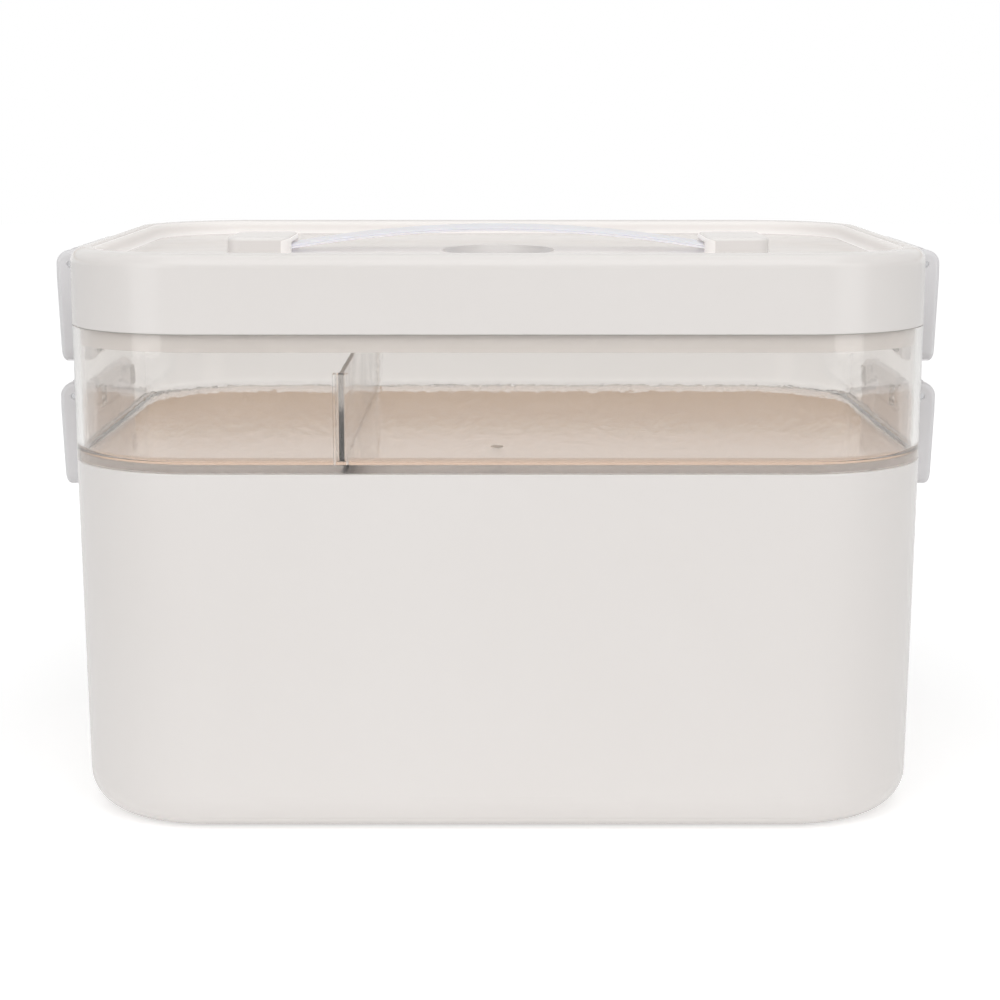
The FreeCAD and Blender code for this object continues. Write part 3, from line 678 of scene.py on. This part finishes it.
def add_lamp(name, place, aim, width, height, power):
    deselect_all()
    bpy.ops.object.light_add(type="AREA", location=place)
    lamp = bpy.context.object
    lamp.name = name
    lamp.data.shape = "RECTANGLE"
    lamp.data.size = width
    lamp.data.size_y = height
    lamp.data.energy = power
    lamp.rotation_euler = (Vector(aim) - Vector(place)).to_track_quat("-Z", "Y").to_euler()
    lamp.visible_camera = False
    return lamp


def seen_directly(tree):
    """Two values: 1 for the rays that show a backdrop straight, in gloss or through clear plastic,
    and 1 for those of them that come by way of gloss or clear plastic."""
    path = tree.nodes.new("ShaderNodeLightPath")
    through = math_node(tree, "MAXIMUM", path.outputs["Is Glossy Ray"],
                        path.outputs["Is Transmission Ray"])
    return math_node(tree, "MAXIMUM", path.outputs["Is Camera Ray"], through), through


def backdrop_material(tint):
    """Pale floor: lifted to white where it is seen, and away from the object, so only its shadow
    shows."""
    material = bpy.data.materials.new("Studio floor")
    material.use_nodes = True
    tree = material.node_tree
    surface = tree.nodes["Principled BSDF"]
    surface.inputs["Base Color"].default_value = tint
    surface.inputs["Roughness"].default_value = 0.9
    surface.inputs["Specular IOR Level"].default_value = 0.0
    surface.inputs["Emission Color"].default_value = WHITE
    place = tree.nodes.new("ShaderNodeTexCoord")
    away = tree.nodes.new("ShaderNodeVectorMath")
    away.operation = "LENGTH"
    tree.links.new(place.outputs["Object"], away.inputs[0])
    white = spread(tree, away.outputs["Value"], *FLOOR_DISTANCES, *FLOOR_GLOW)
    seen, through = seen_directly(tree)
    hidden = math_node(tree, "MULTIPLY", through, FLOOR_GLOW_LESS)
    shown = math_node(tree, "SUBTRACT", seen, hidden)
    bounce = math_node(tree, "MULTIPLY", math_node(tree, "SUBTRACT", 1.0, seen),
                       math_node(tree, "SUBTRACT", FLOOR_BOUNCE, white))
    lift = math_node(tree, "ADD", math_node(tree, "MULTIPLY", shown, white), bounce)
    tree.links.new(lift, surface.inputs["Emission Strength"])
    return material


class BOX_OT_stage(bpy.types.Operator):
    """Set up the floor, the light and the camera of the photograph"""

    bl_idname = "first_aid_box.stage"
    bl_label = "Studio"

    def execute(self, context):
        studio, colours = context.scene.box_studio, context.scene.box_colours
        deselect_all()
        bpy.ops.mesh.primitive_plane_add(size=8, location=(0, 0, 0))
        floor = name_piece("studio_floor")
        floor.data.materials.append(backdrop_material(tuple(colours.backdrop)))
        add_lamp("key", (0, -1.0, 1.25), (0, 0, 0.15), 1.8, 1.2, studio.key)
        add_lamp("top", (0, 0.1, 1.6), (0, 0, 0.2), 1.6, 1.0, studio.top)
        add_lamp("front", (-0.3, -1.6, 0.16), (0, 0, 0.12), 1.4, 0.5, studio.front)
        for side, name in ((1, "strip_right"), (-1, "strip_left")):
            add_lamp(name, (side * 1.0, -0.9, 0.45), (0, 0, 0.15), 0.6, 0.9, studio.strips)
        self.set_sky(context, studio.sky)
        bpy.ops.object.camera_add(location=studio.camera_place,
                                  rotation=(math.pi / 2 - studio.camera_tilt, 0, 0))
        camera = bpy.context.object
        camera.name = "photo_camera"
        camera.data.lens = studio.focal_length
        camera.data.sensor_width = 36.0
        camera.data.clip_start = 0.01
        context.scene.camera = camera
        context.scene.view_settings.view_transform = "Standard"
        cycles = context.scene.cycles
        cycles.max_bounces = cycles.glossy_bounces = CLEAR_BOUNCES
        cycles.transmission_bounces = CLEAR_BOUNCES
        return {"FINISHED"}

    def set_sky(self, context, strength):
        """White where it is seen, with a warm low band in gloss and through clear plastic; a plain
        level as light."""
        world = bpy.data.worlds.new("Studio sky")
        world.use_nodes = True
        context.scene.world = world
        tree = world.node_tree
        sky = tree.nodes["Background"]
        place = tree.nodes.new("ShaderNodeTexCoord").outputs["Generated"]
        ray = tree.nodes.new("ShaderNodeSeparateXYZ")
        tree.links.new(place, ray.inputs["Vector"])
        above = spread(tree, ray.outputs["Z"], *BAND_START)
        below = spread(tree, ray.outputs["Z"], *BAND_END, 1.0, 0.0)
        seen, through = seen_directly(tree)
        band = math_node(tree, "MULTIPLY", math_node(tree, "MULTIPLY", above, below), through)
        tree.links.new(mix_colours(tree, band, WHITE, BAND_COLOUR), sky.inputs["Color"])
        tree.links.new(spread(tree, seen, 0.0, 1.0, strength, 1.0), sky.inputs["Strength"])


class BOX_PT_pieces(bpy.types.Panel):
    """Lists the steps that build the box"""

    bl_idname = "BOX_PT_pieces"
    bl_label = "First aid box"
    bl_space_type = "VIEW_3D"
    bl_region_type = "UI"
    bl_category = "First aid box"

    def draw(self, context):
        for group in (context.scene.box_colours, context.scene.box_sizes, context.scene.box_studio):
            panel = self.layout.box()
            for label in group.__annotations__:
                panel.prop(group, label)
        for step in STEPS:
            self.layout.operator(step.bl_idname)


GROUPS = {"box_colours": BoxColours, "box_sizes": BoxSizes, "box_studio": BoxStudio}
STEPS = (BOX_OT_finishes, BOX_OT_shells, BOX_OT_tray, BOX_OT_latches, BOX_OT_strap, BOX_OT_stage)


def register():
    for cls in (*GROUPS.values(), *STEPS, BOX_PT_pieces):
        bpy.utils.register_class(cls)
    for name, cls in GROUPS.items():
        setattr(bpy.types.Scene, name, bpy.props.PointerProperty(type=cls))


def unregister():
    for name in GROUPS:
        delattr(bpy.types.Scene, name)
    for cls in (BOX_PT_pieces, *reversed(STEPS), *GROUPS.values()):
        bpy.utils.unregister_class(cls)


def main():
    register()
    bpy.ops.first_aid_box.finishes()
    bpy.ops.first_aid_box.shells()
    bpy.ops.first_aid_box.tray()
    bpy.ops.first_aid_box.latches()
    bpy.ops.first_aid_box.strap()
    bpy.ops.first_aid_box.stage()


if __name__ == "__main__":
    main()
